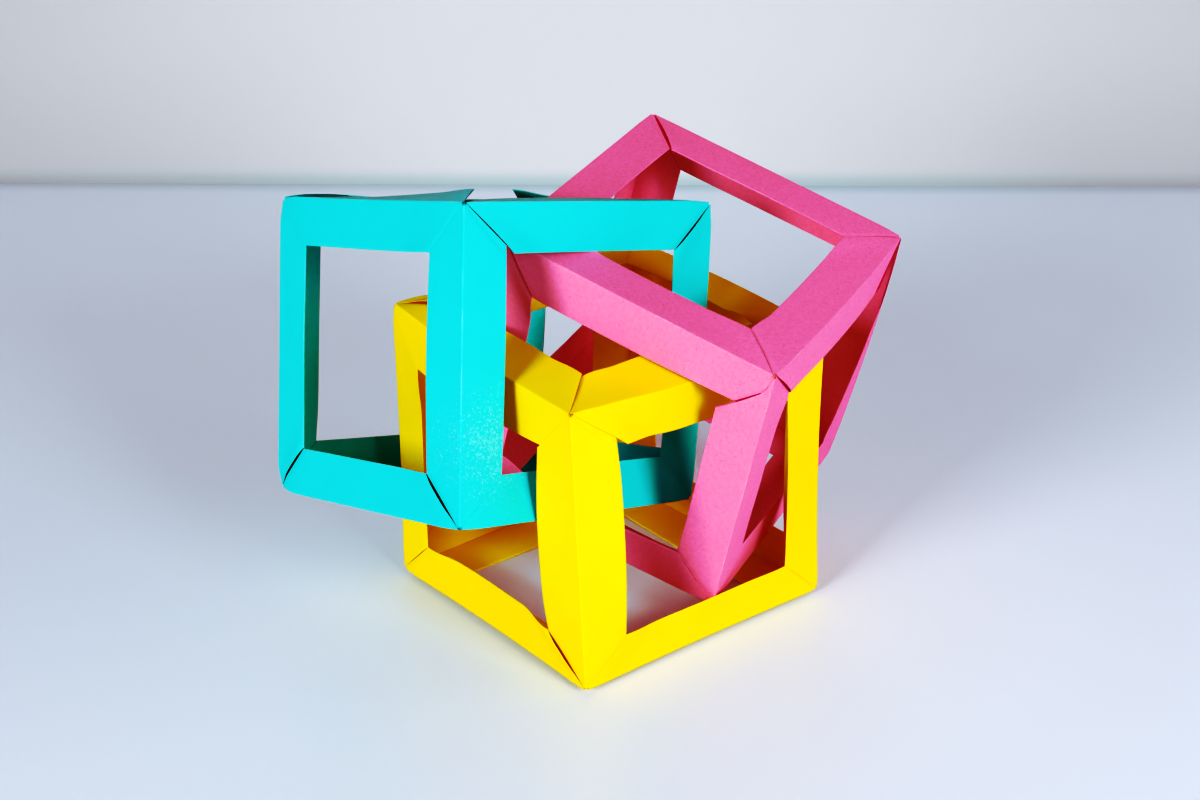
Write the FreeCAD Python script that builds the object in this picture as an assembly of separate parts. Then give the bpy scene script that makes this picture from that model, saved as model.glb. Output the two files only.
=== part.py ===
import FreeCAD, Part
import math
import os

# Three open cubes of folded paper, hooked through one another.  Each cube is twelve
# equal units, one to an edge.  A unit is a strip whose long sides are folded to the
# middle and which is then creased along the middle to a right angle, so that it has
# two legs, each a flat sleeve of two layers.  At each end one leg is tucked in to a
# mitre, which makes a pocket, and the other ends in a tab that fills the next pocket.
# Millimetres, Z up.  The yellow cube stands square to the axes.

# ---- the folded unit ----------------------------------------------------------
SIDE = 117.2          # side of a cube, which is the length of a unit along its crease
LEG = 18.75           # width of one leg, a quarter of the width of the strip
PAPER = 0.08          # one layer of paper
SLIP = 0.02           # air between a tab and the pocket, on either face
CREASE = 0.20         # how far the pressed ridge of the crease reaches down each leg
FLAP_GAP = 0.05       # the two inner layers stop this far short of each other's planes
SEAM = 0.25           # gap along a mitre, where the unit has crept out of its pocket
PRESS = 1.40          # run over which a leg is pressed flat before it enters a pocket
TAB_END = 0.45        # air between the square end of a tab and the crease it points at

# ---- how the cubes hang together ------------------------------------------------
SEAT_GAP = 0.28       # air left between two strips that bear on each other

# centre in sides of a cube from the centre of the yellow one's foot, then turns in
# degrees about Z, Y and X, as the cube comes to rest on its neighbours
TURQUOISE_AT, TURQUOISE_TURN = (-0.2474, 0.3174, 0.8691), (2.254, 17.144, -15.400)
PINK_AT, PINK_TURN = (0.3160, 0.0102, 0.7854), (23.012, -4.790, 15.614)
POSE_LEG = 0.1599     # width of a leg, in sides, for which those places hold

# ---- what follows from the sizes ------------------------------------------------
TUCK = PAPER                            # the layer tucked in along a mitre
TAB = 2 * PAPER                         # a tab is its leg's two layers
SLOT = 2 * TUCK + TAB + 2 * SLIP        # inside of a sleeve
THICK = SLOT + 2 * PAPER                # a leg from face to face
BEND_R = THICK / 2                      # outside of the fold along a leg's free edge
FLAP_AT = THICK + FLAP_GAP              # where an inner layer starts, from the crease
TAB_LOW = PAPER + TUCK + SLIP           # depth of a tab's outer face
BACK = PRESS * math.sqrt(2)             # the same run, measured along the crease

FACES = {"top_front_left": (1, -1, 1), "top_front_right": (0, -1, 1),
         "top_back_right": (1, 1, 1), "top_back_left": (0, 1, 1),
         "bottom_front_left": (1, -1, -1), "bottom_front_right": (0, -1, -1),
         "bottom_back_right": (1, 1, -1), "bottom_back_left": (0, 1, -1),
         "front_upright": (2, -1, -1), "right_upright": (2, 1, -1),
         "back_upright": (2, 1, 1), "left_upright": (2, -1, 1)}


def vec(x, y, z=0.0):
    return FreeCAD.Vector(x, y, z)


def section():
    """The sheet seen along the crease: out along one leg, back, and the same again."""
    def half(p):                                     # p maps (along the leg, depth)
        end, bend, low = LEG - BEND_R, LEG - PAPER, CREASE / 3
        outer = [Part.LineSegment(p(low, low), p(CREASE, 0)),
                 Part.LineSegment(p(CREASE, 0), p(end, 0)),
                 Part.Arc(p(end, 0), p(LEG, BEND_R), p(end, THICK)),
                 Part.LineSegment(p(end, THICK), p(FLAP_AT, THICK)),
                 Part.LineSegment(p(FLAP_AT, THICK), p(FLAP_AT, THICK - PAPER)),
                 Part.LineSegment(p(FLAP_AT, THICK - PAPER), p(end, THICK - PAPER)),
                 Part.LineSegment(p(end, THICK - PAPER), p(bend, BEND_R)),
                 Part.LineSegment(p(bend, BEND_R), p(end, PAPER)),
                 Part.LineSegment(p(end, PAPER), p(PAPER, PAPER))]
        return [c.toShape() for c in outer]
    edges = half(lambda s, d: vec(0, s, d)) + half(lambda s, d: vec(0, d, s))
    wire = Part.Wire(Part.__sortEdges__(edges))
    return Part.Face(wire)


def plate(points, depth, height):
    """A flat prism on leg A: points are (along the crease, along the leg)."""
    wire = Part.makePolygon([vec(x, y, depth) for x, y in points + points[:1]])
    return Part.Face(wire).extrude(vec(0, 0, height))


def swap_legs(shape):
    """The half turn that carries a unit onto itself, each leg and end onto the other."""
    out = shape.copy()
    out.rotate(vec(SIDE / 2, 0, 0), vec(0, 1, 1), 180)
    return out


def mitre_cut():
    """What the mitre takes off leg A at its pocket end, down to the crease."""
    far = LEG + 1
    return plate([(-1, -1), (SEAM - 1, -1), (SEAM + far, far), (-1, far)], -1, 1 + THICK)


def tucked_corner():
    """The corner folded in along the mitre, lying against both layers of leg A."""
    low, high = FLAP_AT, min(LEG - BEND_R, LEG - SEAM)
    corner = [(SEAM + low, low), (SEAM + high, low), (SEAM + high, high)]
    return [plate(corner, PAPER, TUCK), plate(corner, THICK - PAPER - TUCK, TUCK)]


def tab_cut():
    """What is taken off leg A at its tab end before the pressed part is added."""
    far = LEG + 1
    x = SIDE - BACK
    return plate([(SIDE + 1, -1), (x + 1, -1), (x - far, far), (SIDE + 1, far)], -1, 1 + THICK)


def tab():
    """Leg A's other end: its layers close up towards the mitre and run on as the tab."""
    run = LEG * 2
    across = [(-PRESS, 0), (0, TAB_LOW), (run, TAB_LOW), (run, TAB_LOW + TAB),
              (0, TAB_LOW + TAB), (-PRESS, THICK)]
    k = math.sqrt(0.5)
    start = vec(SIDE + 5, -5)                         # on the mitre line, past the corner
    pts = [start + vec(u * k, u * k, d) for u, d in across]
    wedge = Part.Face(Part.makePolygon(pts + pts[:1])).extrude(vec(-(LEG + 10), LEG + 10))
    inside = Part.makeBox(LEG + BACK + 1, LEG - FLAP_AT, THICK,
                          vec(SIDE - LEG - BACK - 1, FLAP_AT, 0))
    reach = Part.makeBox(LEG, LEG, THICK, vec(SIDE - PAPER - TAB_END - LEG, FLAP_AT, 0))
    hold = [(SIDE - LEG + 2 * PAPER, 0), (SIDE, 0), (SIDE, LEG + 1), (SIDE - LEG + 2 * PAPER, LEG + 1)]
    far = LEG + 1
    before = plate([(SIDE - far, -1), (SIDE + 1, -1), (SIDE - far, far)], -1, 2 + THICK)
    tongue = plate(hold, -1, 2 + THICK).common(reach)
    return wedge.common(inside).common(before.fuse(tongue)).removeSplitter()


def unit():
    """One folded strip, crease on X, leg A in the plane Z = 0 and leg B in Y = 0."""
    body = section().extrude(vec(SIDE, 0, 0))
    cuts = [mitre_cut(), tab_cut()]
    adds = tucked_corner() + [tab()]
    body = body.cut(cuts + [swap_legs(c) for c in cuts])
    return body.fuse(adds + [swap_legs(a) for a in adds]).removeSplitter().Solids[0]


def on_edge(shape, axis, sign1, sign2):
    """Puts a unit on one edge of a cube centred on the origin."""
    def axis_vec(i, s):
        return vec(*[s if n == i % 3 else 0 for n in range(3)])
    along = axis_vec(axis, 1)
    first, second = axis_vec(axis + 1, -sign1), axis_vec(axis + 2, -sign2)
    a, b = (first, second) if sign1 * sign2 > 0 else (second, first)
    at = (along * -1 - first - second) * (SIDE / 2)
    m = FreeCAD.Matrix(along.x, a.x, b.x, at.x, along.y, a.y, b.y, at.y,
                       along.z, a.z, b.z, at.z, 0, 0, 0, 1)
    out = shape.copy()
    out.Placement = FreeCAD.Placement(m)
    return out


def signs(name):
    """Edge of a named unit: its axis and the sides of the cube it lies between."""
    axis, s, t = FACES[name]
    if axis == 0:                                    # along X, between a Y and a Z side
        return 0, s, t
    if axis == 1:                                    # along Y, between a Z and an X side
        return 1, t, s
    return 2, s, t                                   # upright, between X and Y sides


# ---- letting the cubes down onto each other ---------------------------------------
# A cube is taken as its 24 legs, each a thin box.  Two boxes are apart by the most that
# any of their 15 separating directions shows, which is less than zero where they cross.

def legs(width):
    """Centre and half sizes by axis of each leg of a cube centred on the origin."""
    out = []
    for name in FACES:
        axis, s, t = signs(name)
        i, j = (axis + 1) % 3, (axis + 2) % 3
        for flat, wide, sf, sw in ((i, j, s, t), (j, i, t, s)):
            c, h = [0.0] * 3, [0.0] * 3
            h[axis], h[flat], h[wide] = SIDE / 2, THICK / 2, width / 2
            c[flat], c[wide] = sf * (SIDE - THICK) / 2, sw * (SIDE - width) / 2
            out.append((vec(*c), h))
    return out


def apart(box1, box2, near):
    """Separation of two placed boxes and its direction, or None past near."""
    c1, r1, h1 = box1
    c2, r2, h2 = box2
    d = c2 - c1
    if d.Length > near + math.hypot(*h1) + math.hypot(*h2):
        return None
    best = (-1e9, None)
    for n in r1 + r2 + [a.cross(b) for a in r1 for b in r2]:
        size = n.Length
        if size < 1e-3:
            continue
        n = n * (1 / size)
        gap = abs(d.dot(n)) - sum(h1[i] * abs(r1[i].dot(n)) + h2[i] * abs(r2[i].dot(n)) for i in range(3))
        if gap > near:
            return None
        if gap > best[0]:
            best = (gap, n if d.dot(n) > 0 else n * -1)
    return best


def placed(cube_legs, place):
    """A cube's legs as placed boxes: centre, axes and half sizes."""
    axes = [place.Rotation.multVec(vec(*a)) for a in ((1, 0, 0), (0, 1, 0), (0, 0, 1))]
    return [(place.multVec(c), axes, h) for c, h in cube_legs]


def clashes(boxes1, boxes2, limit):
    """Each pair of legs closer than the limit: how close, and which way they part."""
    found = []
    for b1 in boxes1:
        for b2 in boxes2:
            got = apart(b1, b2, limit)
            if got and got[0] < limit:
                found.append((limit - got[0], got[1], (b1, b2)))
    return found


def touch_point(b1, b2, n):
    """Middle of the stretch that both boxes reach along each other, near their contact."""
    def face(box, way):
        c, axes, h = box
        p = c
        for a, s in zip(axes, h):
            k = a.dot(n) * way
            if abs(k) > 1e-3:
                p = p + a * (s if k > 0 else -s)
        return p
    p1, p2 = face(b1, 1), face(b2, -1)
    def longest(box):
        c, axes, h = box
        i = max(range(3), key=lambda k: h[k])
        return axes[i]
    u, v = longest(b1), longest(b2)
    w = u.cross(v)
    if w.Length < 1e-3:
        return (p1 + p2) * 0.5
    w0 = p1 - p2
    a, b, c, d, e = u.dot(u), u.dot(v), v.dot(v), u.dot(w0), v.dot(w0)
    s = (b * e - c * d) / (a * c - b * b)
    return p1 + u * s


def nudge(place, n, point, amount):
    """Moves a placement so that the point goes by amount along n, turning as a frame does."""
    arm = point - place.Base
    spin = arm.cross(n)
    inertia = SIDE * SIDE / 4
    k = amount / (1 + spin.dot(spin) / inertia)
    base = place.Base + n * k
    turn = spin * (k / inertia)
    rot = place.Rotation
    if turn.Length > 1e-12:
        rot = FreeCAD.Rotation(turn, math.degrees(turn.Length)).multiply(rot)
    return FreeCAD.Placement(base, rot)


def grip(place, before, n, point):
    """Takes back how far a touching point slid along its contact since the last place."""
    slid = point - before.multVec(place.inverse().multVec(point))
    slid = slid - n * slid.dot(n)
    return nudge(place, slid * (-1 / slid.Length), point, slid.Length) if slid.Length > 1e-6 else place


def part_cubes(fixed, loose, shape, passes):
    """Pushes the two loose cubes off the fixed one and off each other."""
    for _ in range(passes):
        boxes = [placed(shape, p) for p in loose]
        worst = 0
        for k in (0, 1):
            for depth, n, (b1, b2) in clashes(fixed, boxes[k], SEAT_GAP):
                loose[k] = nudge(loose[k], n, touch_point(b1, b2, n), depth * 0.5)
                worst = max(worst, depth)
        for depth, n, (b1, b2) in clashes(boxes[0], boxes[1], SEAT_GAP):
            point = touch_point(b1, b2, n)
            loose[0] = nudge(loose[0], n * -1, point, depth * 0.25)
            loose[1] = nudge(loose[1], n, point, depth * 0.25)
            worst = max(worst, depth)
        if worst < 0.01:
            break


def let_down(place, others, shape):
    """Lowers a cube to its first contact, then lets it tip about what it has landed on."""
    step = SIDE / 20
    while step > 0.01:
        lower = FreeCAD.Placement(place.Base - vec(0, 0, step), place.Rotation)
        if clashes(others, placed(shape, lower), SEAT_GAP - 0.02) or lower.Base.z < SIDE / 2:
            step = step / 2
        else:
            place = lower
    step = SIDE / 400
    while step > 0.02:
        trial = FreeCAD.Placement(place.Base - vec(0, 0, step), place.Rotation)
        for _ in range(12):
            found = clashes(others, placed(shape, trial), SEAT_GAP)
            for depth, n, (b1, b2) in found:
                point = touch_point(b1, b2, n)
                trial = grip(nudge(trial, n, point, depth), place, n, point)
            if not found or max(f[0] for f in found) < 0.01:
                break
        left = clashes(others, placed(shape, trial), SEAT_GAP - 0.03)
        if left or trial.Base.z > place.Base.z - step * 0.1:
            step = step / 2
        else:
            place = trial
    return place


def seat(yellow, turquoise, pink):
    """Opens the legs from the width the poses were taken at, parting the cubes where
    strips cross, then lets each cube down onto its neighbours."""
    loose = [turquoise, pink]
    first = POSE_LEG * SIDE
    steps = max(1, math.ceil(abs(LEG - first) / (SIDE / 300)))
    for k in range(1, steps + 1):
        shape = legs(first + (LEG - first) * k / steps)
        fixed = placed(shape, yellow)
        part_cubes(fixed, loose, shape, 400 if k == steps else 60)
    for k in (1, 0, 1):
        loose[k] = let_down(loose[k], fixed + placed(shape, loose[1 - k]), shape)
    return loose


def pose(at, turn):
    return FreeCAD.Placement(vec(*at) * SIDE, FreeCAD.Rotation(*turn))


def build():
    one = unit()
    yellow = FreeCAD.Placement(vec(0, 0, SIDE / 2), FreeCAD.Rotation())
    turquoise, pink = seat(yellow, pose(TURQUOISE_AT, TURQUOISE_TURN), pose(PINK_AT, PINK_TURN))
    nodes = {}
    for colour, place in (("yellow", yellow), ("turquoise", turquoise), ("pink", pink)):
        for name in FACES:
            piece = on_edge(one, *signs(name))
            piece.Placement = place.multiply(piece.Placement)
            nodes[colour + "_" + name] = piece
    box = Part.makeCompound(list(nodes.values())).optimalBoundingBox(False)
    middle = vec((box.XMin + box.XMax) / 2, (box.YMin + box.YMax) / 2, box.ZMin)
    for piece in nodes.values():
        piece.translate(middle * -1)
    print("box", round(box.XLength, 3), round(box.YLength, 3), round(box.ZLength, 3))
    for colour, place in (("yellow", yellow), ("turquoise", turquoise), ("pink", pink)):
        p = place.Base - middle
        print(colour, "centre", [round(c, 3) for c in p], "turns", [round(a, 3) for a in place.Rotation.toEuler()])
    return nodes


os.makedirs("parts", exist_ok=True)
for node, shape in build().items():
    shape.exportStep("parts/" + node + ".step")
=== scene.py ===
import bpy, math
from mathutils import Vector, Matrix, noise


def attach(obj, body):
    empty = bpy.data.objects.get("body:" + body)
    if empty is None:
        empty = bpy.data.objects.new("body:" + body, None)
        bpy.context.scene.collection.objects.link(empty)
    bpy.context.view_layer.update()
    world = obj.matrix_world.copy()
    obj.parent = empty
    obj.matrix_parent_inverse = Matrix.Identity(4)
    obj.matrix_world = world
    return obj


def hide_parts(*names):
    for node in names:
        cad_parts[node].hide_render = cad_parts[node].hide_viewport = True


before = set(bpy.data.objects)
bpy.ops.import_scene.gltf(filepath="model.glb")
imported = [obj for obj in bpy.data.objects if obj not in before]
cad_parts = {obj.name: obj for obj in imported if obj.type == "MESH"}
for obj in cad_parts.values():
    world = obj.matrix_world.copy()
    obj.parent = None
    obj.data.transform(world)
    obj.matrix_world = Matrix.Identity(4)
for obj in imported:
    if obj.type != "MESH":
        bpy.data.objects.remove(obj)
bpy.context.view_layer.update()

# ---- Yellow cube -------------------------------------------------------------
# Twelve strips of bright yellow paper, one to an edge. Each strip has its long
# sides folded to the middle and is then creased to a right angle, and its ends
# slot into its neighbours, so the cube holds itself together without glue.
SIDE, LEG = 0.1172, 0.01875           # along a crease, and across one leg
PAPER = 0.00010                       # one layer
THICK = 0.00052                       # a leg from face to face, its pocket included
CREASE_ROUND = 0.00022                # radius of the paper round the crease
FLAP_AT = 0.00057                     # the folded-in sides stop this far from the crease
SEAM = 0.00015                        # sliver left open along a mitre
BLUNT = 0.0010                        # how far a crease stops short of the corner
PRESS = 0.0022                        # run over which a leg is pressed flat
TAB_END = 0.0008                      # a tab stops this far short of the far crease
SPRUNG = 0.0020                       # the folds spring open: the lowest creases stand this far up
CRUSH_REACH = 0.011                   # how far from its tip a crushed corner crumples
SPRING_RUN = 0.02                     # run over which one leg's spring passes into the next one's
BOW_RUN = 0.015                       # and one strip's bow into the next one's
LIP_RUN = 0.012                       # how far back from its mouth a pocket gapes
# POCKET_SHADE and IN_SHADE set where the paper is painted in deep shade: inside a pocket near its
# mouth, and under a neighbour's lip
POCKET_SHADE = 0.014                  # how far into a pocket its inside is in deep shade
RIPPLE = 0.00016                      # waviness that folding by hand leaves in a leg
IN_SHADE, IN_LIGHT = 5.0, -5.0        # depths under a neighbour's lip, in mm, that are past doubt
SPREAD = 4.2 * LEG                    # what the UV map holds from cut side to cut side, and a margin
MM = 0.001                            # a millimetre in metres
STRIPS = {"top_front_left": (1, 1, -1), "top_front_right": (0, -1, 1),
          "top_back_right": (1, 1, 1), "top_back_left": (0, 1, 1),
          "bottom_front_left": (1, -1, -1), "bottom_front_right": (0, -1, -1),
          "bottom_back_right": (1, -1, 1), "bottom_back_left": (0, 1, -1),
          "front_upright": (2, -1, -1), "right_upright": (2, 1, -1),
          "back_upright": (2, 1, 1), "left_upright": (2, -1, 1)}
CORNERS = {"front_top": (-1, -1, 1), "left_top": (-1, 1, 1),
           "right_top": (1, -1, 1), "back_top": (1, 1, 1),
           "front_foot": (-1, -1, -1), "left_foot": (-1, 1, -1),
           "right_foot": (1, -1, -1), "back_foot": (1, 1, -1)}


def ease(t):
    t = min(max(t, 0.0), 1.0)
    return t * t * (3 - 2 * t)


def cube_place(colour):
    """A cube's middle and directions, from the places of its twelve plain strips."""
    middles = {}
    for name in STRIPS:
        total, area = Vector(), 0.0
        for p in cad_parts[colour + "_" + name].data.polygons:
            total, area = total + p.center * p.area, area + p.area
        middles[name] = total / area
    middle = sum(middles.values(), Vector()) / len(middles)
    axes = [Vector(), Vector(), Vector()]
    for name, (along, s, t) in STRIPS.items():
        axes[(along + 1) % 3] += (middles[name] - middle) * s
        axes[(along + 2) % 3] += (middles[name] - middle) * t
    turn = Matrix([a.normalized() for a in axes]).transposed().to_4x4()
    return Matrix.Translation(middle + Vector((0, 0, SPRUNG))) @ turn


def strip_place(name):
    """Where a strip drawn along X, leg A flat and leg B standing, goes on its cube."""
    axis, s, t = STRIPS[name]
    unit = [Vector((1, 0, 0)), Vector((0, 1, 0)), Vector((0, 0, 1))]
    along, first, second = unit[axis], unit[(axis + 1) % 3] * -s, unit[(axis + 2) % 3] * -t
    a, b = (first, second) if s * t > 0 else (second, first)
    at = (along * -1 - first - second) * (SIDE / 2)
    return Matrix.Translation(at) @ Matrix((along, a, b)).transposed().to_4x4()


def section_points():
    """Across the strip, from one cut side to the other: where a point lies in the fold (outer
    layer, bend or inner layer), how far from the crease or at what angle round the bend, and
    on which leg."""
    outer = [0.0008, 0.002, 0.004, 0.0065, 0.0095, 0.0125, 0.015, 0.017, 0.018]
    inner = [0.018, 0.0165, 0.0145, 0.0115, 0.0085, 0.0055, 0.0028, 0.0012, FLAP_AT]
    half = [("outer", s) for s in [CREASE_ROUND] + outer]
    half += [("bend", math.radians(a)) for a in (-90, -55, -20, 20, 55, 90)]
    half += [("inner", s) for s in inner]
    return [(k, v, 1) for k, v in reversed(half)] + [("crease", 0.0, 0)] + [(k, v, 0) for k, v in half]


def racked(p, corners):
    """How far handling has pushed a point of a cube, shared out from its eight corners.
    A corner's fourth number is how far its tip is crushed."""
    out = Vector()
    for name, (*push, crush) in corners.items():
        w = 1.0
        for c, sign in zip(p, CORNERS[name]):
            w *= (1 + sign * c * 2 / SIDE) / 2
        out += Vector(push) * (w * MM)
        tip = Vector(CORNERS[name])
        close = 1 - min((p - tip * (SIDE / 2)).length / CRUSH_REACH, 1)
        out -= tip.normalized() * (ease(close) * crush * MM)
    return out


def dented(p, dents):
    """Pushes that all strips near a place share, each (place in half sides, reach in metres,
    push in mm)."""
    out = Vector()
    for place, reach, push in dents:
        close = 1 - min((p - Vector(place) * (SIDE / 2)).length / reach, 1)
        out += Vector(push) * (ease(close) * MM)
    return out


def mate(name, leg, end):
    """The strip that a leg (0 for A, 1 for B) meets in its face, at its near (-1) or far (1) end."""
    axis, s, t = STRIPS[name]
    sides = {(axis + 1) % 3: s, (axis + 2) % 3: t}
    a, b = sides if s * t > 0 else reversed(sides)
    spans = b if leg else a
    sides[axis] = end
    key = (spans, sides[(spans + 1) % 3], sides[(spans + 2) % 3])
    return next(n for n, v in STRIPS.items() if v == key)


def mitre(s, slant=0.0, short=0.0):
    """Where a leg stops at its mitre, s away from the crease. A lip can also slant back towards
    its free edge, or fall short all along."""
    return SEAM + math.hypot(s, BLUNT) + slant * s / LEG + short * ease(s / 0.003)


def end_values(name, ends, usual=(0.12, 0.2)):
    """A strip's pocket ends: for each leg how far it is pulled back, and how far its lip gapes,
    slants back and falls short. An end that isn't listed is as usual."""
    mine = ends.get(name, {})
    return [[v * MM for v in (*mine.get(k, usual), 0.0, 0.0)[:4]] for k in "ab"]


def fold_strip(name, colour, place, corners, flares, bows, knocks, ends, dents=()):
    """One folded strip as a closed thin sheet, replacing its plain solid. The rest says what
    handling has done to the cube and its strips, in millimetres, outward or along the cube's axes.

    corners and dents: how the whole cube is out of true, as racked and dented take them.
    flares: how far a leg's free edge stands out at mid-length, by the axis it faces.
    bows: how far the middle of the whole strip is off the straight.
    knocks: local pushes, each (part, where along, how wide, push): part is "all", "a" or "b",
    and where and how wide are shares of the side.
    ends: for a leg's pocket end, "a" or "b": (how far it is pulled back, how far its lip gapes,
    how far the lip slants back towards its free edge, and how far it falls short of the mitre,
    the last two as needed); for a tab, "tab_a" or "tab_b": how much of it there is."""
    columns = section_points()
    close = [0, 0.0004, 0.0009, 0.0015, 0.0022, 0.0032, 0.005, 0.0072, 0.0098]   # from a mitre
    rows = 32                                               # between those of the two ends
    tab_steps = (0.04, 0.15, 0.4, 0.7, 1.0)                 # along a tab
    count, tab_rows = rows + 2 * len(close), len(tab_steps)
    at = strip_place(name)
    seed = sum(ord(c) for c in colour + name) * 0.37        # so that no two strips ripple alike
    faces_axis = [max(range(3), key=lambda k: abs(at[k][2 - leg])) for leg in (0, 1)]
    to_cube = at.inverted().to_3x3()
    takers, givers = [[mate(name, leg, end if leg else -end) for leg in (0, 1)] for end in (-1, 1)]
    stand, taker_stand, giver_stand = [
        [flares.get(n, {}).get("xyz"[k], 0.0) * MM for n, k in zip(names, faces_axis)]
        for names in ((name, name), takers, givers)]
    bow, *taker_bow = [to_cube @ (Vector(bows.get(n, (0, 0, 0))) * MM) for n in (name, *takers)]
    local = [(part, where, wide, to_cube @ (Vector(push) * MM))
             for part, where, wide, push in knocks.get(name, ())]
    back, gape, slant, short = zip(*end_values(name, ends))
    lip_over = [end_values(n, ends)[leg][2:] for leg, n in enumerate(takers)]   # over this one's tab
    tab_share = [ends.get(name, {}).get(k, 1.0) for k in ("tab_a", "tab_b")]

    def node(i, j, side):
        """One point of the sheet, by its column across, its row along and its side of the paper."""
        kind, value, leg = columns[i]
        s = {"outer": value, "inner": value, "crease": 0.0, "bend": LEG - THICK / 2}[kind]
        plain = mitre(s)
        # a pulled-back mouth opens quickly from the crease, and closes again at the free edge
        arc = max(math.sin(math.pi * min(s / LEG, 1)), 0) ** 0.7
        pocket = mitre(s, slant[leg], short[leg]) + back[leg] * (0.4 * ease(s / 0.002) + 0.6 * arc)
        near, far = (pocket, plain) if leg == 0 else (plain, pocket)
        if kind == "crease":
            near = far = plain
        if 0 <= j <= count:
            if j < len(close):
                x = near + close[j]
            elif j > count - len(close):
                x = SIDE - far - close[count - j]
            else:
                f = (j - len(close) + 1) / (count - 2 * len(close) + 2)
                x = near + close[-1] + (SIDE - near - far - 2 * close[-1]) * f
        elif j > count:
            x = SIDE - far + (far - TAB_END) * tab_share[leg] * tab_steps[j - count - 1]
        else:
            x = near - (near - TAB_END) * tab_share[leg] * tab_steps[-j - 1]
        # leg A (0) is pressed flat at the far end and leg B (1) at the near one
        tab = x - near if leg else SIDE - far - x
        mouth = SIDE - far - x if leg else x - near
        flat = (1 - ease(tab / PRESS)) * ease((s - 0.0006) / 0.002)     # never flat at the crease
        half = THICK / 2 + (PAPER * 1.02 - THICK / 2) * flat            # the layers just miss
        # the cut edge of a mouth is a little thicker
        lip = 1.6 if kind == "outer" and s > 0.002 and mouth < 0.0003 else 1
        layer = PAPER * lip if side else 0.0
        if kind == "crease":
            r = CREASE_ROUND * (1 - math.sqrt(0.5))
            p = (PAPER, PAPER) if side else (r, r)
        elif kind == "outer":
            p = (max(s, PAPER) if side else s, THICK / 2 - half + layer)
        elif kind == "bend":
            p = (LEG - half + (half - layer) * math.cos(value),
                 THICK / 2 + (half - layer) * math.sin(value))
        else:
            p = (s, THICK / 2 + half - layer)
        y, z = p
        t, share = x / SIDE, p[0] / LEG
        # the leg springs out as an arch; where two meet, the one that stands out more lifts the
        # other, and past the mitre the tab follows the pocket that takes it
        to_tab, to_pocket = (x, SIDE - x) if leg else (SIDE - x, x)
        arch, taker_arch = math.sin(math.pi * t), math.sin(math.pi * p[0] / SIDE)
        at_tab, at_pocket = max(stand[leg], taker_stand[leg]), max(stand[leg], giver_stand[leg])
        if to_tab > p[0]:
            out = stand[leg] + (at_tab - stand[leg]) * (1 - ease((to_tab - p[0]) / SPRING_RUN))
            out += (at_pocket - stand[leg]) * (1 - ease((to_pocket - p[0]) / SPRING_RUN))
            out *= arch * share
        else:
            out = at_tab + (taker_stand[leg] - at_tab) * ease((p[0] - to_tab) / SPRING_RUN)
            out *= taker_arch * to_tab / LEG
        own = ease((to_tab - p[0]) / BOW_RUN)
        # waves about 25 mm long and 17 mm wide, that die out at the crease and the ends
        ripple = noise.noise(Vector((x * 40 + seed, p[0] * 60, leg * 7.0 + seed))) * RIPPLE
        z -= out + ripple * ease(p[0] / 0.006) * ease(t / 0.2) * ease((1 - t) / 0.2)
        shift = bow * (arch * own * ease(to_pocket / BOW_RUN))
        shift += taker_bow[leg] * (taker_arch * ease(p[0] / BOW_RUN) * (1 - own))
        if kind != "inner":
            # the outer layer gapes at its mouth, least by the crease and the bend
            loose = ease((s - 0.001) / 0.009) * ease((LEG + 0.001 - s) / 0.005)
            z -= gape[leg] * (1 - ease(mouth / LIP_RUN)) * loose
        if leg:
            y, z = z, y
        q = Vector((x, y, z)) + shift
        for part, where, wide, push in local:
            if abs(t - where) < wide:
                much = math.cos(math.pi / 2 * (t - where) / wide) ** 2
                q += push * much * (1 if part == "all" else (share if part == "ab"[leg] else 0))
        q = at @ q
        # how far in under the neighbour's lip, or under its own outer layer, which sets the painted
        # shade there
        under = (p[0] - mitre(to_tab, *lip_over[leg])) / MM
        # the inside of a pocket's outer layer near its mouth is painted in deep shade, and the rest of
        # that side is not
        if side:
            in_painted_shade = kind == "outer" and s > 0.001 and mouth < POCKET_SHADE
            under = IN_SHADE if in_painted_shade else IN_LIGHT
        return place @ (q + racked(q, corners) + dented(q, dents)), under

    last = len(columns) - 1
    middle = last // 2
    loose_a = range(middle + 2, last)                       # the cells that the tabs run on from
    loose_b = range(0, middle - 2)
    cells = {(i, j) for i in range(last) for j in range(count)}
    cells |= {(i, j) for i in loose_a for j in range(count, count + tab_rows)}
    cells |= {(i, j) for i in loose_b for j in range(-tab_rows, 0)}
    index, points, sheet, painted_pocket_shade = {}, [], [], []
    start, along = place @ at @ Vector((0, 0, 0)), (place @ at).to_3x3() @ Vector((1, 0, 0))

    def corner(i, j, side):
        if (i, j, side) not in index:
            index[i, j, side] = len(points)
            point, under = node(i, j, side)
            points.append(point)
            painted_pocket_shade.append(under)
            kind, value, leg = columns[i]
            across = {"outer": value, "inner": 2 * LEG - value, "crease": 0.0, "bend": LEG}[kind]
            sheet.append(((point - start).dot(along) / SIDE,
                          0.5 + (across if leg == 0 else -across) / SPREAD))
        return index[i, j, side]

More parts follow.
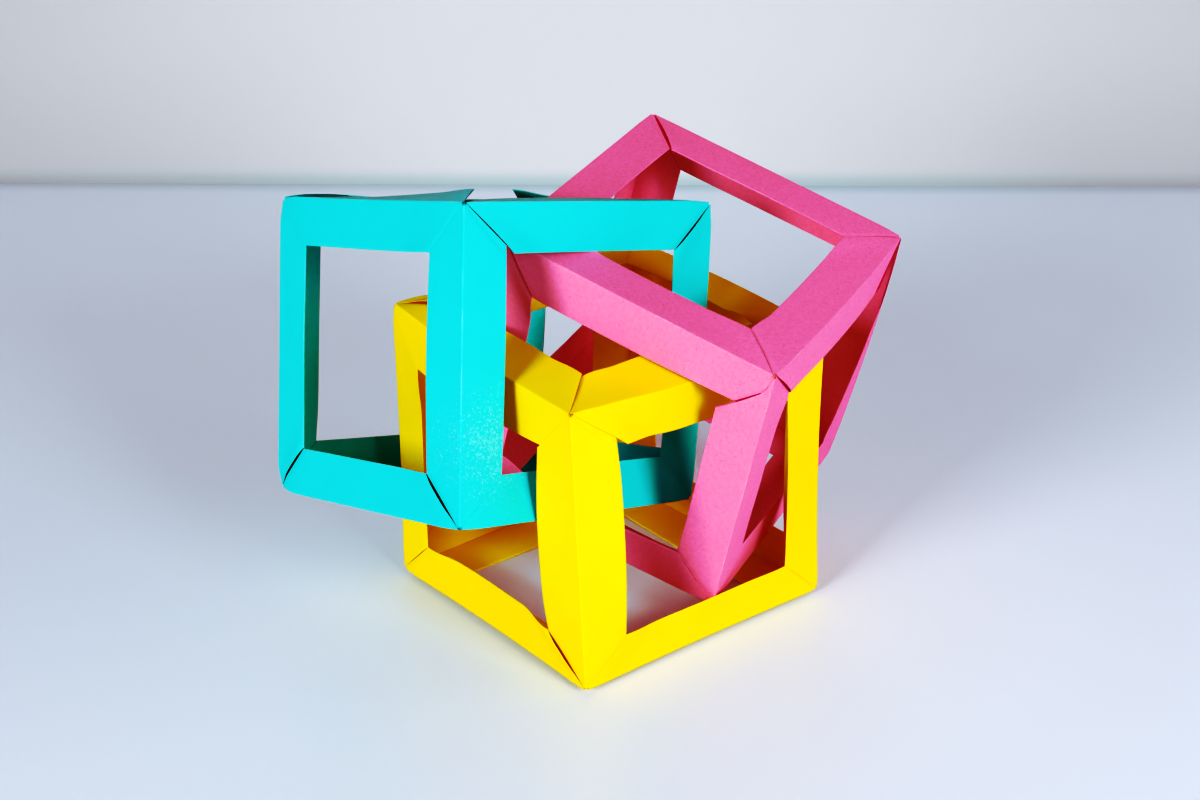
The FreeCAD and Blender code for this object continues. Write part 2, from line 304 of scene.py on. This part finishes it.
    faces = []
    for i, j in sorted(cells):
        a, b, c, d = (i, j), (i + 1, j), (i + 1, j + 1), (i, j + 1)
        faces.append([corner(*n, 0) for n in (a, b, c, d)])
        faces.append([corner(*n, 1) for n in (d, c, b, a)])
        for (n, m), other in (((a, b), (i, j - 1)), ((b, c), (i + 1, j)),
                              ((c, d), (i, j + 1)), ((d, a), (i - 1, j))):
            if other not in cells:
                faces.append([corner(*m, 0), corner(*n, 0), corner(*n, 1), corner(*m, 1)])
    mesh = bpy.data.meshes.new(colour + "_" + name + "_sheet")
    mesh.from_pydata(points, [], faces)
    layer = mesh.uv_layers.new(name="sheet")
    for loop in mesh.loops:
        layer.data[loop.index].uv = sheet[loop.vertex_index]
    mesh.validate()
    mesh.attributes.new("painted_pocket_shade", "FLOAT", "POINT").data.foreach_set("value", painted_pocket_shade)
    mesh.shade_smooth()
    mesh.set_sharp_from_angle(angle=math.radians(40))
    strip = bpy.data.objects.new(colour + "_" + name + "_sheet", mesh)
    bpy.context.collection.objects.link(strip)
    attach(strip, "root")
    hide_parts(colour + "_" + name)
    return strip


def fold_cube(colour, place, material, **handling):
    """The twelve strips of a cube."""
    for name in STRIPS:
        strip = fold_strip(name, colour, place, **handling)
        strip.data.materials.append(material)


def add_node(tree, kind, settings, feeds):
    """Add a shader node with its settings. A feed is another node's output or a plain value."""
    n = tree.nodes.new("ShaderNode" + kind)
    for key, value in settings.items():
        setattr(n, key, value)
    for key, value in feeds.items():
        if hasattr(value, "links"):
            tree.links.new(value, n.inputs[key])
        else:
            n.inputs[key].default_value = value
    return n.outputs


def fibre_group():
    """Fibres and flecks pressed into the sheet, the paler line along its folds, a rubbed patch, and
    painted deep shade where one strip goes into another."""
    g = bpy.data.node_groups.new("paper_fibre", "ShaderNodeTree")
    for name, kind, value in (("Colour", "Color", (0.8, 0.8, 0.8, 1)),
                              ("Worn colour", "Color", (1, 1, 1, 1)),
                              ("Painted shade and fleck colour", "Color", (0, 0, 0, 1)),
                              ("Mottle", "Float", 0.1),
                              ("Mottle size", "Float", 900.0),
                              ("Flecks", "Float", 0.0),
                              ("Fold wear", "Float", 0.3),
                              ("Rubbed", "Float", 0.0),
                              ("Rubbed at", "Vector", (0, 0, 0)),
                              ("Rubbed reach", "Float", 0.02),
                              ("Fibre relief", "Float", 0.5)):
        s = g.interface.new_socket(name, in_out="INPUT", socket_type="NodeSocket" + kind)
        s.default_value = value
    for name, kind in (("Colour", "Color"), ("Roughness", "Float"), ("Height", "Float")):
        g.interface.new_socket(name, in_out="OUTPUT", socket_type="NodeSocket" + kind)
    given = g.nodes.new("NodeGroupInput").outputs
    result = g.nodes.new("NodeGroupOutput").inputs
    where = add_node(g, "TexCoord", {}, {})["Object"]

    def math_node(operation, a, b=None, clamp=False):
        feeds = {0: a} if b is None else {0: a, 1: b}
        return add_node(g, "Math", {"operation": operation, "use_clamp": clamp}, feeds)[0]

    def plus(a, b):
        return math_node("ADD", a, b)

    def less(a, b):
        return math_node("SUBTRACT", a, b)

    def times(a, b, clamp=False):
        return math_node("MULTIPLY", a, b, clamp)

    def near(distance, reach):
        """1 at no distance, down to 0 at the reach."""
        return math_node("SUBTRACT", 1.0, math_node("DIVIDE", distance, reach), clamp=True)

    def above(value, level, gain):
        """0 up to the level, and then quickly up to 1."""
        return times(less(value, level), gain, clamp=True)

    def cloud(scale, detail, rough=0.55):
        """Noise with about this many waves to the metre."""
        feeds = {"Vector": where, "Scale": scale, "Detail": detail, "Roughness": rough}
        return add_node(g, "TexNoise", {}, feeds)["Fac"]

    def mix(much, a, b):
        return add_node(g, "Mix", {"data_type": "RGBA"}, {"Factor": much, "A": a, "B": b})["Result"]

    # two tones of pulp
    fine = cloud(given["Mottle size"], detail=3.0, rough=0.65)
    broad = cloud(60.0, detail=2.0)
    tone = plus(times(less(fine, 0.5), given["Mottle"]), times(less(broad, 0.5), 0.05))
    pulp = {"Color": given["Colour"], "Value": plus(tone, 1.0)}
    base = add_node(g, "HueSaturation", {}, pulp)["Color"]
    # the crease and the folded sides are worn paler in places; across is in mm from the crease
    sheet = add_node(g, "UVMap", {"uv_map": "sheet"}, {})["UV"]
    off_middle = less(add_node(g, "SeparateXYZ", {}, {0: sheet})["Y"], 0.5)
    across = times(math_node("ABSOLUTE", off_middle), SPREAD / MM)
    crease = near(across, 0.45)
    side = near(math_node("ABSOLUTE", less(across, LEG / MM)), 0.35)
    worn = math_node("MAXIMUM", crease, times(side, 0.6))
    rub = above(cloud(260.0, detail=4.0, rough=0.7), 0.32, 3.0)
    stretch = above(cloud(45.0, detail=1.0), 0.47, 7.0)
    worn = times(times(times(worn, rub), stretch), given["Fold wear"])
    # speckles of bare fibre over a rubbed patch
    apart = {0: where, 1: given["Rubbed at"]}
    patch = near(add_node(g, "VectorMath", {"operation": "DISTANCE"}, apart)["Value"],
                 given["Rubbed reach"])
    speck = above(cloud(900.0, detail=5.0, rough=0.8), less(0.66, times(patch, 0.2)), 9.0)
    speck = times(times(speck, given["Rubbed"]), times(patch, 3.0, clamp=True))
    fleck = times(above(cloud(1500.0, detail=1.0, rough=0.3), 0.66, 14.0), given["Flecks"])
    base = mix(math_node("MAXIMUM", worn, speck), base, given["Worn colour"])
    base = mix(fleck, base, given["Painted shade and fleck colour"])
    # the attribute says how many mm a point is in under the next strip; there the colour turns to the
    # painted shade colour
    painted_shade_depth = add_node(g, "Attribute", {"attribute_name": "painted_pocket_shade"}, {})["Fac"]
    deep = times(plus(painted_shade_depth, 0.05), 4.0, clamp=True)
    grain = cloud(5200.0, detail=2.0, rough=0.7)
    relief = plus(times(fine, 0.6), times(grain, 0.4))
    g.links.new(mix(deep, base, given["Painted shade and fleck colour"]), result["Colour"])
    g.links.new(plus(0.62, times(fine, 0.18)), result["Roughness"])
    g.links.new(times(relief, given["Fibre relief"]), result["Height"])
    return g


fibre = fibre_group()


def paper(name, colour, worn, painted_pocket_shade, **values):
    """Coloured craft paper: matt, with fibres in its surface. It has a worn colour where it is
    rubbed, and a colour for painted deep shade in a pocket and under a neighbour's lip, which also
    colours the flecks."""
    m = bpy.data.materials.new(name)
    m.use_nodes = True
    feeds = {key.replace("_", " ").capitalize(): value for key, value in values.items()}
    for key, value in (("Colour", colour), ("Worn colour", worn), ("Painted shade and fleck colour", painted_pocket_shade)):
        feeds[key] = (*value, 1)
    sheet = add_node(m.node_tree, "Group", {"node_tree": fibre}, feeds)
    bump = {"Strength": 0.25, "Distance": 0.0002, "Height": sheet["Height"]}
    shader = m.node_tree.nodes["Principled BSDF"].inputs
    shader["Specular IOR Level"].default_value = 0.04
    for value, key in ((sheet["Colour"], "Base Color"), (sheet["Roughness"], "Roughness"),
                       (add_node(m.node_tree, "Bump", {}, bump)["Normal"], "Normal")):
        m.node_tree.links.new(value, shader[key])
    return m


# the third colour is painted shade inside pockets and under a neighbour's lip
yellow_paper = paper("yellow_paper", (0.93, 0.65, 0.0005), (0.97, 0.82, 0.03), (0.55, 0.21, 0.0),
                     mottle=0.03, mottle_size=1100, fold_wear=0.08, fibre_relief=0.4)
yellow_place = cube_place("yellow")
# the frame is racked: the foot has turned to a rhombus, and the front top corner is pushed back
yellow_corners = {"front_top": (0.7, 2.8, 0.7, 0.3), "left_top": (0.5, 2.1, -0.2, 0.8),
                  "right_top": (0.4, -1.6, -0.1, 0.3), "back_top": (0.3, -1.4, 0, 0.3),
                  "front_foot": (3.8, 1.3, 0, 0.3), "left_foot": (-2.7, 1.3, 0, 0.5),
                  "right_foot": (3.6, 0.3, 0, 0.3), "back_foot": (-3.1, 0.1, 0, 0.3)}
yellow_flares = {"top_front_left": {"x": 3.4, "z": 3.9}, "top_front_right": {"y": -1.9, "z": 6.4},
                 "bottom_front_left": {"x": -1.2, "z": 1.8},
                 "bottom_front_right": {"y": 2.2, "z": 1.8},
                 "bottom_back_right": {"z": 1.9}, "bottom_back_left": {"z": 2.8},
                 "front_upright": {"x": 4.1, "y": 3.5}, "right_upright": {"y": 3.4},
                 "back_upright": {"y": 1.2}, "left_upright": {"x": 1.5, "y": -1.0}}
yellow_bows = {"top_front_left": (0.2, -0.5, -0.4), "top_front_right": (-1.3, -0.7, -2.5),
               "top_back_right": (1.0, -0.1, 1.2), "bottom_front_left": (0.6, 0, 0.6),
               "bottom_front_right": (-0.5, 0.9, 0), "bottom_back_left": (0, 0.7, 1.0),
               "right_upright": (-0.8, 0.8, 0), "back_upright": (-0.7, 0.2, 0),
               "left_upright": (0.4, -0.5, 0)}
yellow_ends = {"top_front_left": {"a": (0.3, 0.3)}, "top_front_right": {"a": (0.35, 0.15, 4.4)},
               "top_back_left": {"a": (0.5, 1.4)}, "bottom_front_left": {"a": (0.4, 1.0)},
               "front_upright": {"b": (0.05, 0.1, 1.2)}, "left_upright": {"a": (0.4, 0.5)}}
yellow_knocks = {"top_front_left": [("a", 0.08, 0.3, (0, 0, 0.8))]}
yellow_dents = [((-1, 1, 1), 0.040, (0, 0, 3.2)),             # the left top corner is pulled up
                ((-0.62, -1, 0.66), 0.026, (0, 0, 2.2))]      # and so is the lip by the front edge
fold_cube("yellow", yellow_place, yellow_paper, corners=yellow_corners, flares=yellow_flares,
          bows=yellow_bows, knocks=yellow_knocks, ends=yellow_ends, dents=yellow_dents)

# ---- Turquoise cube ------------------------------------------------------------
# The same strips in turquoise. It leans on the yellow cube, whose top corner
# reaches up inside it, and its own lower corner hangs inside the yellow one.
turquoise_place = cube_place("turquoise")
# low on the leg right of the front edge
scuffed_at = turquoise_place @ (Vector((-0.75, -1, -0.55)) * (SIDE / 2))
# the third colour is painted shade inside pockets and under a neighbour's lip
turquoise_paper = paper("turquoise_paper", (0.0005, 0.61, 0.605), (0.25, 0.80, 0.80),
                        (0.0, 0.055, 0.045), mottle=0.05, mottle_size=1000, fold_wear=0.24,
                        fibre_relief=0.4, rubbed=0.3, rubbed_at=scuffed_at, rubbed_reach=0.036)
turquoise_corners = {"front_top": (-0.1, 3.2, -4.6, 0.3), "left_top": (0, 2.9, -3.3, 1.2),
                     "right_top": (0.1, -3.4, 0.8, 0.8), "back_top": (0, -3.2, 0.1, 0.4),
                     "front_foot": (0.1, 0, -4.1, 0.6), "left_foot": (0.5, 0.1, -2.6, 1.9),
                     "right_foot": (-0.2, 1.1, 0.7, 0.4), "back_foot": (0.3, 1.1, 0.2, 0.4)}
turquoise_flares = {"top_front_right": {"y": -1.2, "z": 1.2}, "top_back_right": {"z": -0.8},
                    "bottom_front_right": {"y": -0.6}, "bottom_back_left": {"z": -0.9},
                    "front_upright": {"x": 1.7, "y": 1.2}, "back_upright": {"x": 2.2},
                    "left_upright": {"x": 0.8, "y": 0.3}}
turquoise_bows = {"top_front_left": (0, 0, -0.4), "bottom_back_left": (-0.7, 0.8, -0.1),
                  "right_upright": (0.5, -0.5, 0), "back_upright": (0.4, -0.2, 0)}
turquoise_ends = {"top_front_left": {"a": (0.2, 0.3)}, "top_front_right": {"a": (0.7, 0.25, 3.2)},
                  "bottom_front_left": {"a": (0.5, 1.0)},
                  "front_upright": {"a": (0.05, 0.1), "b": (0.0, 0.0)},
                  "right_upright": {"b": (0.7, 0.6)}, "left_upright": {"a": (0.75, 0.8)}}
turquoise_knocks = {"top_front_left": [("a", 0.0, 0.95, (0, 0, 4.3))],
                    "top_back_right": [("b", 0.88, 0.5, (0, 0, 4.5))],
                    "top_back_left": [("all", 0.12, 0.22, (0, 0, 1.0))]}
fold_cube("turquoise", turquoise_place, turquoise_paper, corners=turquoise_corners,
          flares=turquoise_flares, bows=turquoise_bows, knocks=turquoise_knocks,
          ends=turquoise_ends)

# ---- Pink cube -------------------------------------------------------------------
# The same strips in a pink paper with coarser, flecked pulp. It stands on the
# strips of both other cubes, tipped so that one corner points down.
# the third colour is painted shade inside pockets and under a neighbour's lip, and also the colour of
# the flecks
pink_paper = paper("pink_paper", (0.85, 0.25, 0.385), (0.95, 0.50, 0.66), (0.42, 0.004, 0.09),
                   mottle=0.35, mottle_size=700, flecks=0.2, fold_wear=0.4, fibre_relief=0.8)
pink_place = cube_place("pink")
pink_corners = {"front_top": (-2.0, -0.9, -1.4, 0.4), "left_top": (0.4, -0.6, -0.8, 0.4),
                "right_top": (-2.1, -0.4, -0.4, 0.5), "back_top": (0.4, -0.5, 1.5, 0.2),
                "front_foot": (1.6, -1.9, -0.9, 0.3), "left_foot": (-1.0, -1.2, -0.6, 0.3),
                "right_foot": (1.5, 1.0, -0.3, 0.3), "back_foot": (-1.0, 1.0, 0.8, 0.3)}
pink_flares = {"top_front_left": {"x": 1.7, "z": -1.5}, "top_front_right": {"y": 1.1, "z": -0.5},
               "top_back_right": {"z": 0.6}, "top_back_left": {"y": -1.1, "z": 1.0},
               "bottom_front_left": {"x": 2.9}, "bottom_back_left": {"y": -0.7, "z": 0.5},
               "front_upright": {"x": 1.1}, "right_upright": {"y": 0.3}}
pink_bows = {"top_front_left": (-0.4, 1.8, 0.2), "top_front_right": (0, -1.0, -0.4),
             "bottom_front_left": (-0.7, 0, -0.8), "bottom_back_left": (0, 0.3, 0),
             "right_upright": (0.2, -1.0, 0), "left_upright": (2.0, 1.1, 2.6)}
pink_ends = {"top_front_left": {"a": (0.6, 0.3), "b": (1.4, 0.5)},
             "top_front_right": {"a": (1.0, 1.2), "b": (1.0, 0.3), "tab_a": 0.3},
             "top_back_right": {"b": (1.9, 0.4)}, "front_upright": {"b": (0.5, 0.9, 0.0, 5.8)},
             "right_upright": {"b": (0.2, 0.2, 5.0)}}
pink_knocks = {"right_upright": [("b", 0.9, 0.75, (0, -3.8, 0))]}
fold_cube("pink", pink_place, pink_paper, corners=pink_corners, flares=pink_flares,
          bows=pink_bows, knocks=pink_knocks, ends=pink_ends)

# ---- Table, wall and light ---------------------------------------------------------
# A white table with a dull shine that meets a pale wall. Both are painted with shade along the line
# where they meet, and darkened away from their middles as a painted falloff of light. Two small soft
# lamps stand on the viewer's side, low and far apart, and two weak fills and a dim room
# lift the shade a little.
edge_at = Vector((0.2645, 0.3569, 0))                 # where the table meets the wall
edge_along = Vector((0.7669, -0.6418, 0))
away = Vector((-edge_along.y, edge_along.x, 0))       # from the viewer towards the wall
up = Vector((0, 0, 1))


def slab(name, corners, material):
    mesh = bpy.data.meshes.new(name)
    mesh.from_pydata(corners, [], [(0, 1, 2, 3)])
    mesh.materials.append(material)
    thing = bpy.data.objects.new(name, mesh)
    bpy.context.collection.objects.link(thing)
    return thing


def plain(name, colour, shade, rough, gloss, out, reach, middle, falloff):
    """A plain surface. Towards the line where table and wall meet it takes on a painted shade, over
    its reach out from that line, and away from its own middle it darkens by the falloff, as a painted
    falloff of light."""
    m = bpy.data.materials.new(name)
    m.use_nodes = True
    tree = m.node_tree
    where = add_node(tree, "TexCoord", {}, {})["Object"]

    def vector_math(operation, a, b, output="Value"):
        return add_node(tree, "VectorMath", {"operation": operation}, {0: a, 1: b})[output]

    def ramp(value, low, high, first, last):
        feeds = {"Value": value, "From Min": low, "From Max": high, "To Min": first, "To Max": last}
        return add_node(tree, "MapRange", {"interpolation_type": "SMOOTHSTEP"}, feeds)["Result"]

    def mix(much, a, b):
        return add_node(tree, "Mix", {"data_type": "RGBA"}, {"Factor": much, "A": a, "B": b})["Result"]

    from_line = vector_math("SUBTRACT", where, edge_at, "Vector")
    clear = add_node(tree, "Math", {"operation": "ABSOLUTE"},
                     {0: vector_math("DOT_PRODUCT", from_line, out)})[0]
    with_painted_joint_shade = mix(ramp(clear, 0, reach, 0, 1), (*shade, 1), (*colour, 1))
    off = vector_math("DISTANCE", where, middle)
    with_painted_falloff = mix(ramp(off, 0.05, 0.5, 1, 1 - falloff), (0, 0, 0, 1), with_painted_joint_shade)
    shader = tree.nodes["Principled BSDF"].inputs
    tree.links.new(with_painted_falloff, shader["Base Color"])
    shader["Roughness"].default_value = rough
    shader["Specular IOR Level"].default_value = gloss
    return m


# the table is painted darker along the wall as shade, and darker away from a point before the cubes as
# a painted falloff of light
table = plain("table_top", colour=(0.77, 0.83, 0.92), shade=(0.48, 0.68, 0.73), rough=0.38, gloss=0.5,
              out=away, reach=0.016, middle=Vector((0, -0.25, 0)), falloff=0.12)
near_side, far_side, half_width = edge_at - away * 1.4, edge_at + away * 0.8, edge_along * 0.9
slab("table_top", [near_side - half_width, near_side + half_width,
                   far_side + half_width, far_side - half_width], table)

# the wall is painted darker at its foot as shade, and darker away from its middle as a painted falloff
# of light
wall = plain("wall", colour=(0.625, 0.62, 0.62), shade=(0.415, 0.505, 0.50), rough=0.9, gloss=0.2,
             out=up, reach=0.011, middle=edge_at + up * 0.1, falloff=0.26)
# from behind, the wall is clear, so that the object can be looked at from every side
behind = add_node(wall.node_tree, "NewGeometry", {}, {})["Backfacing"]
solid = add_node(wall.node_tree, "Math", {"operation": "SUBTRACT"}, {0: 1.0, 1: behind})[0]
wall.node_tree.links.new(solid, wall.node_tree.nodes["Principled BSDF"].inputs["Alpha"])
left_end, right_end = edge_at - edge_along * 0.8, edge_at + edge_along * 0.8
wall_slab = slab("wall", [left_end, right_end, right_end + up * 0.8, left_end + up * 0.8], wall)
wall_slab.visible_shadow = False                      # the weak fill behind it shines through

world = bpy.context.scene.world or bpy.data.worlds.new("room")
bpy.context.scene.world = world
world.use_nodes = True
room = world.node_tree.nodes["Background"].inputs
room["Color"].default_value = (0.9, 0.95, 1.0, 1)
# pale to look at, but lighting little
seen = {"Value": add_node(world.node_tree, "LightPath", {}, {})["Is Camera Ray"],
        "To Min": 0.05, "To Max": 0.7}
world.node_tree.links.new(add_node(world.node_tree, "MapRange", {}, seen)["Result"],
                          room["Strength"])

LAMP_TINT = (0.95, 0.98, 1.06)
lamps_face = Vector((0, 0, 0.09))                     # about the middle of the object


def softbox(name, bearing, height, size, power, far=1.5):
    """A square lamp seen from the object at a bearing (0 is +Y, 90 is +X) and a height in degrees."""
    light = bpy.data.lights.new(name, "AREA")
    light.shape, light.size, light.energy = "SQUARE", size, power
    light.color = LAMP_TINT
    lamp = bpy.data.objects.new(name, light)
    b, h = math.radians(bearing), math.radians(height)
    out = Vector((math.sin(b) * math.cos(h), math.cos(b) * math.cos(h), math.sin(h)))
    lamp.location = lamps_face + out * far
    lamp.rotation_euler = out.to_track_quat("Z", "Y").to_euler()
    bpy.context.collection.objects.link(lamp)


softbox("right_lamp", bearing=178, height=22, size=0.5, power=15.7)
softbox("right_fill", bearing=138, height=24, size=0.9, power=4.5)
softbox("left_lamp", bearing=257, height=22, size=0.5, power=19.3)
softbox("back_fill", bearing=35, height=16, size=0.9, power=3)

# ---- Camera -------------------------------------------------------------------------
# It looks down on the front edges of the cubes from about 0.8 m away. The tone curves
# give the picture deep, warm shade.
camera = bpy.data.cameras.new("camera")
camera.lens, camera.sensor_width = 60.92, 36
camera.dof.use_dof = False
viewer = bpy.data.objects.new("camera", camera)
viewer.location = (-0.43081, -0.57773, 0.44657)
viewer.rotation_euler = [math.radians(a) for a in (62.975, 0.833, -37.226)]
bpy.context.collection.objects.link(viewer)
bpy.context.scene.camera = viewer
view = bpy.context.scene.view_settings
view.view_transform = "Standard"
view.look = "None"
view.use_curve_mapping = True
# a firmer toe for all channels together, and in the shade more red and less green and blue
RED, GREEN, BLUE, ALL = range(4)
GRADE = {ALL: ((0.03, 0.012), (0.07, 0.04), (0.14, 0.1), (0.26, 0.235), (0.45, 0.455), (0.7, 0.725)),
         RED: ((0.05, 0.09), (0.12, 0.19), (0.2, 0.27), (0.33, 0.375), (0.43, 0.435), (0.65, 0.65)),
         GREEN: ((0.05, 0.015), (0.12, 0.04), (0.2, 0.095), (0.31, 0.228), (0.41, 0.392), (0.6, 0.6)),
         BLUE: ((0.05, 0.010), (0.1, 0.028), (0.2, 0.095), (0.32, 0.21), (0.43, 0.41), (0.64, 0.64))}
for channel, points in GRADE.items():
    for x, y in points:
        view.curve_mapping.curves[channel].points.new(x, y)
view.curve_mapping.update()
